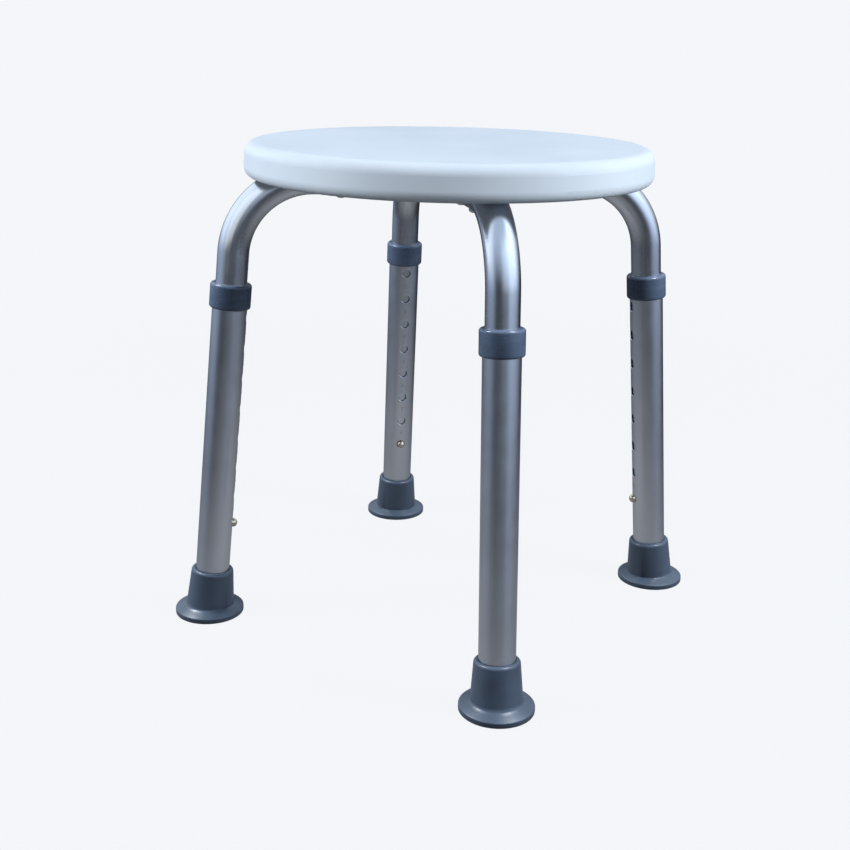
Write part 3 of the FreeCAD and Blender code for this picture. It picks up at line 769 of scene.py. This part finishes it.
def foot_rubber(name, colour=(0.038, 0.053, 0.080)):
    """Blue-grey rubber: matt, with bloom in patches and dust towards the floor."""
    material, tree, shader, place = new_material(name)
    where = place.outputs["Object"]
    bloom = noise(tree, where, 45, 4.0, 0.6)
    pores = noise(tree, where, 1800, 3.0)
    dust = noise(tree, where, 420, 5.0, 0.7)
    height = add(tree, "ShaderNodeSeparateXYZ", {"Vector": where}).outputs["Z"]
    low = remap(tree, height, 1, 0, 0, DUST_HEIGHT)
    lighter = tuple(1.25 * c for c in colour)
    base = blend_colour(tree, remap(tree, bloom, 0, 1, *MOST), colour, lighter)
    dusty = calculate(tree, "MULTIPLY", remap(tree, dust, 0, 0.4, 0.5, 0.8), low)
    final = blend_colour(tree, dusty, base, RUBBER_DUST)
    roughness = remap(tree, bloom, 0.29, 0.40, *MOST)
    normal = bump(tree, pores, 0.012 * MM)
    set_shader(tree, shader, colour=final, rough=roughness, normal=normal)
    return material


def polished_brass(name):
    """Button: polished, faintly tarnished, with fine rub marks."""
    material, tree, shader, place = new_material(name)
    where = place.outputs["Object"]
    tarnish = noise(tree, where, 700, 3.0)
    rub = noise(tree, stretch(tree, where, (1, 1, 6)), 1500, 2.0)
    dulled = remap(tree, tarnish, 0, 1, 0.35, 0.75)
    colour = blend_colour(tree, dulled, BRASS, TARNISHED_BRASS)
    rough = remap(tree, tarnish, 0.07, 0.17, *MOST)
    normal = bump(tree, rub, 0.003 * MM)
    set_shader(tree, shader, colour=colour, metal=1.0, rough=rough, normal=normal)
    return material


def plated_steel(name, bright=(0.62, 0.62, 0.60), dark=(0.42, 0.42, 0.42), rough=0.28):
    """Zinc plate: small patches of slightly different shine."""
    material, tree, shader, place = new_material(name)
    where = place.outputs["Object"]
    patches = noise(tree, where, 900, 2.0)
    fine = noise(tree, where, 4200, 3.0)
    colour = blend_colour(tree, remap(tree, patches, 0, 1, 0.35, 0.65), dark, bright)
    roughness = remap(tree, fine, rough - 0.08, rough + 0.12, *MOST)
    normal = bump(tree, fine, 0.004 * MM)
    set_shader(tree, shader, colour=colour, metal=1.0, rough=roughness, normal=normal)
    return material


def give(piece, material):
    """Puts one material on a piece, in the slot it has or a new one."""
    if not piece.material_slots:
        piece.data.materials.append(material)
    for slot in piece.material_slots:
        slot.material = material


# ---------------------------------------------------------------- stage

BACKDROP = (0.905, 0.922, 0.947)
FLOOR_RADIUS = 1.6
FLOOR_FADE = (0.45 * FLOOR_RADIUS, 0.95 * FLOOR_RADIUS)
FLOOR_ALBEDO = (0.90, 0.90, 0.90)
FLOOR_CLARITY = 0.975  # the floor is a thin veil, so legs pulled out past it stay in sight
POOL_COLOUR = (0.30, 0.31, 0.335)
POOL_RADIUS = 0.90
POOL_FALL = 1.3


def make_floor():
    """Pale veil that fades into the backdrop; gloss mirrors it as a soft pool of light."""
    floor = ring_piece("floor", [circle_of(FLOOR_RADIUS, 0), circle_of(0, 0)], closed=False)
    floor.visible_diffuse = False
    floor.visible_shadow = False
    material = bpy.data.materials.new("floor")
    material.use_nodes = True
    tree = material.node_tree
    tree.nodes.clear()
    place = add(tree, "ShaderNodeTexCoord").outputs["Object"]
    grain = noise(tree, place, 160, 3.0)
    tone = remap(tree, grain, 0.985, 1.0, *MOST)
    colour = add(tree, "ShaderNodeVectorMath", {0: FLOOR_ALBEDO, 1: tone}, operation="MULTIPLY")
    paint = add(tree, "ShaderNodeBsdfDiffuse", {"Color": colour.outputs[0]})
    clear = add(tree, "ShaderNodeBsdfTransparent")
    distance = add(tree, "ShaderNodeVectorMath", {0: place}, operation="LENGTH").outputs["Value"]
    edge = remap(tree, distance, FLOOR_CLARITY, 1, *FLOOR_FADE)
    below = add(tree, "ShaderNodeNewGeometry").outputs["Backfacing"]
    fade = calculate(tree, "MAXIMUM", edge, below)
    seen = add(tree, "ShaderNodeMixShader", {0: fade, 1: paint.outputs[0], 2: clear.outputs[0]})

    pool = calculate(tree, "POWER", remap(tree, distance, 1, 0, 0, POOL_RADIUS), POOL_FALL)
    pool = calculate(tree, "MULTIPLY", pool, calculate(tree, "SUBTRACT", 1.0, below))
    light = add(tree, "ShaderNodeEmission", {"Color": (*POOL_COLOUR, 1.0), "Strength": pool})
    mirrored = add(tree, "ShaderNodeAddShader", {0: clear.outputs[0], 1: light.outputs[0]})
    in_mirror = add(tree, "ShaderNodeLightPath").outputs["Is Glossy Ray"]
    either = {0: in_mirror, 1: seen.outputs[0], 2: mirrored.outputs[0]}
    mixed = add(tree, "ShaderNodeMixShader", either)
    output = add(tree, "ShaderNodeOutputMaterial", {"Surface": mixed.outputs[0]})
    output.is_active_output = True
    give(floor, material)


# Camera: how far it is turned from +Y, how far it looks down, how much it is rolled.
CAMERA_PLACE = Vector((0.5336, -0.8620, 0.4852))
CAMERA_TURN = radians(32.58)
CAMERA_PITCH = radians(17.94)
CAMERA_ROLL = radians(1.27)
CAMERA_LENS = 52.76
SENSOR_WIDTH = 36


def make_camera():
    """The picture's camera: where it stood, where it looked and how much it was rolled."""
    camera = bpy.data.objects.new("camera", bpy.data.cameras.new("camera"))
    camera.data.sensor_width = SENSOR_WIDTH
    camera.data.lens = CAMERA_LENS
    turn = Matrix.Rotation(CAMERA_TURN, 4, "Z")
    pitch = Matrix.Rotation(pi / 2 - CAMERA_PITCH, 4, "X")
    roll = Matrix.Rotation(CAMERA_ROLL, 4, "Z")
    camera.matrix_world = Matrix.Translation(CAMERA_PLACE) @ turn @ pitch @ roll
    bpy.context.scene.collection.objects.link(camera)
    bpy.context.scene.camera = camera


def toward(bearing, elevation):
    """Unit vector; bearing is measured to the right of the camera's side of the stool."""
    turn = CAMERA_TURN - pi / 2 + radians(bearing)
    level = cos(radians(elevation))
    return Vector((cos(turn) * level, sin(turn) * level, sin(radians(elevation))))


# Panels the tubes reflect, in degrees: bearing of the middle; half widths of the full and the
# fading part; elevations where the panel starts, is full, begins to fade and is gone; colour.
PANELS = (
    (-100, 10, 60, -19, -1, 15, 50, (0.34, 0.44, 0.63)),
    (-118, 20, 62, -3, 9, 58, 80, (0.58, 0.64, 0.66)),
    (74, 10, 53, -17, 1, 45, 70, (0.48, 0.60, 0.84)),
    (40, 15, 60, -4, 6, 45, 70, (0.44, 0.53, 0.66)),
    (122, 30, 58, -8, 20, 58, 80, (0.50, 0.55, 0.58)),
)
CEILING = (2, 48)  # elevations where the ceiling starts and is full
CEILING_COLOUR = (0.48, 0.60, 0.80)
ROOM = (0.062, 0.070, 0.085)
DARK_SIDE = (140, 20, 75)  # bearing and half widths of the dark corner behind the stool
DARK_SHARE = 0.65
DOME_LOW = (0.05, 0.05, 0.05)
DOME_HIGH = (0.15, 0.16, 0.17)


def smooth(tree, value, start, end):
    """Eases from 0 to 1 as a value goes from start to end."""
    inputs = {"Value": value, "From Min": start, "From Max": end}
    node = add(tree, "ShaderNodeMapRange", inputs, interpolation_type="SMOOTHSTEP")
    return node.outputs["Result"]


def climb(tree, height, start, end):
    """Eases from 0 to 1 between two elevations; height is the direction's own Z."""
    return smooth(tree, height, sin(radians(start)), sin(radians(end)))


def turned_to(tree, level, bearing, full, fading):
    """1 within the full half width of a bearing, 0 past the fading half width."""
    both = {0: level, 1: toward(bearing, 0)}
    facing = add(tree, "ShaderNodeVectorMath", both, operation="DOT_PRODUCT").outputs["Value"]
    return smooth(tree, facing, cos(radians(fading)), cos(radians(full)))


def scaled(tree, colour, factor):
    """A colour times a number."""
    both = {0: colour, "Scale": factor}
    return add(tree, "ShaderNodeVectorMath", both, operation="SCALE").outputs[0]


def summed(tree, first, second):
    """The sum of two colours."""
    return add(tree, "ShaderNodeVectorMath", {0: first, 1: second}, operation="ADD").outputs[0]


def reflected_room(tree, direction, height):
    """Dim room with a lit ceiling and a tall soft panel on each side."""
    flat = add(tree, "ShaderNodeVectorMath", {0: direction, 1: (1, 1, 0)}, operation="MULTIPLY")
    level = add(tree, "ShaderNodeVectorMath", {0: flat.outputs[0]}, operation="NORMALIZE")
    level = level.outputs[0]
    gloom = calculate(tree, "MULTIPLY", turned_to(tree, level, *DARK_SIDE), DARK_SHARE)
    total = scaled(tree, ROOM, calculate(tree, "SUBTRACT", 1.0, gloom))
    ceiling = climb(tree, height, *CEILING)
    total = summed(tree, total, scaled(tree, CEILING_COLOUR, ceiling))
    for bearing, full, fading, start, end, top_start, top_end, colour in PANELS:
        rise = climb(tree, height, start, end)
        top = calculate(tree, "SUBTRACT", 1.0, climb(tree, height, top_start, top_end))
        across = turned_to(tree, level, bearing, full, fading)
        shade = calculate(tree, "MULTIPLY", calculate(tree, "MULTIPLY", rise, across), top)
        total = summed(tree, total, scaled(tree, colour, shade))
    return total


def make_world():
    """Pale backdrop for the camera, a room for reflections and a dim dome for the rest."""
    world = bpy.data.worlds.new("studio")
    bpy.context.scene.world = world
    world.use_nodes = True
    tree = world.node_tree
    direction = add(tree, "ShaderNodeTexCoord").outputs["Generated"]
    height = add(tree, "ShaderNodeSeparateXYZ", {"Vector": direction}).outputs["Z"]
    dome = blend_colour(tree, remap(tree, height, 0, 1, -0.5, 0.5), DOME_LOW, DOME_HIGH)
    path = add(tree, "ShaderNodeLightPath")
    room = reflected_room(tree, direction, height)
    lit = blend_colour(tree, path.outputs["Is Glossy Ray"], dome, room)
    final = blend_colour(tree, path.outputs["Is Camera Ray"], lit, BACKDROP)
    tree.links.new(final, tree.nodes["Background"].inputs["Color"])


LIGHT_DISTANCE = 1.6
LIGHT_AIM = Vector((0, 0, 0.2))  # the middle of the stool
LIGHT_COLOUR = (0.89, 0.955, 1.0)


def make_light(name, bearing, elevation, width, power, pieces=None, glint=False):
    """Square soft box; it may light only some pieces, and may be mirrored in them."""
    lamp = bpy.data.lights.new(name, "AREA")
    lamp.size = width
    lamp.energy = power
    lamp.color = LIGHT_COLOUR
    light = bpy.data.objects.new(name, lamp)
    place = toward(bearing, elevation) * LIGHT_DISTANCE
    light.location = place + LIGHT_AIM
    light.rotation_mode = "QUATERNION"
    light.rotation_quaternion = (-place).to_track_quat("-Z", "Y")
    light.visible_glossy = glint
    light.light_linking.receiver_collection = pieces
    bpy.context.scene.collection.objects.link(light)


def only(name, piece):
    """A collection of one piece, for a light that shines on nothing else."""
    group = bpy.data.collections.new(name)
    group.objects.link(piece)
    return group


# ---------------------------------------------------------------- build

nodes = frame["nodes"]
aluminium = anodised_aluminium("aluminium")
bright_aluminium = anodised_aluminium("bright_aluminium", rough=0.24)
# Near black copy of the finish: painted shade on the walls inside the holes.
hole_wall_painted_shade = anodised_aluminium("hole_wall_painted_shade", tint=(0.13, 0.13, 0.14), rough=0.5)
# Lighter, smoother copy of the finish: a painted highlight on the holes' rounded lips.
hole_lip_painted_highlight = anodised_aluminium("hole_lip_painted_highlight", tint=(0.86, 0.87, 0.89), rough=0.16)
stamped = anodised_aluminium("stamped_aluminium", tint=(0.50, 0.51, 0.54), rough=0.45)
collar_plastic = moulded_plastic("collar_plastic")
rubber = foot_rubber("foot_rubber")
seat_only = only("seat_only", nodes["seat"])
rubber_and_plastic = bpy.data.collections.new("rubber_and_plastic")
bent_tubes = {}
for leg in LEGS:
    bent_tubes[leg] = make_upper_tube(leg)
    give(bent_tubes[leg], bright_aluminium)
    make_lower_tube(leg, (aluminium, hole_wall_painted_shade, hole_lip_painted_highlight))
    give(make_stamps(leg), stamped)
    collar = make_collar(leg)
    give(collar, collar_plastic)
    rubber_and_plastic.objects.link(collar)
    foot = make_foot(leg)
    give(foot, rubber)
    rubber_and_plastic.objects.link(foot)

give(nodes["seat"], moulded_seat("seat_plastic"))
give(nodes["seat_screws"], plated_steel("screw_steel"))
brass = polished_brass("button_brass")
spring_steel = plated_steel("spring_steel", (0.36, 0.37, 0.40), (0.24, 0.25, 0.28), 0.32)
washer_steel = plated_steel("washer_steel")
for leg in LEGS:
    give(nodes["snap_button_" + leg], brass)
    give(nodes["snap_spring_" + leg], spring_steel)
    give(nodes["foot_washer_" + leg], washer_steel)

left_bend = only("left_bend", bent_tubes["front_left"])
front_bend = only("front_bend", bent_tubes["front_right"])

make_floor()
make_world()
make_camera()
make_light("overhead", 0, 88, 1.2, 5.2)
make_light("left_box", -80, 27, 0.5, 19.5)
make_light("right_box", 73, 27, 0.5, 22.5)
make_light("front_box", -8, 35, 0.8, 3.1, seat_only)
make_light("floor_bounce", 0, -85, 1.4, 2.2, seat_only)
make_light("high_box", 0, 72, 0.8, 3.5, rubber_and_plastic)
make_light("left_bend_box", -42, 28, 1.4, 5.0, left_bend, glint=True)
make_light("front_bend_box", -108, 20, 1.0, 1.3, front_bend, glint=True)
make_light("left_glint", -99, 49, 0.4, 21.0, rubber_and_plastic, glint=True)
make_light("right_glint", 75, 60, 0.4, 23.0, rubber_and_plastic, glint=True)

scene = bpy.context.scene
scene.view_settings.view_transform = "Standard"
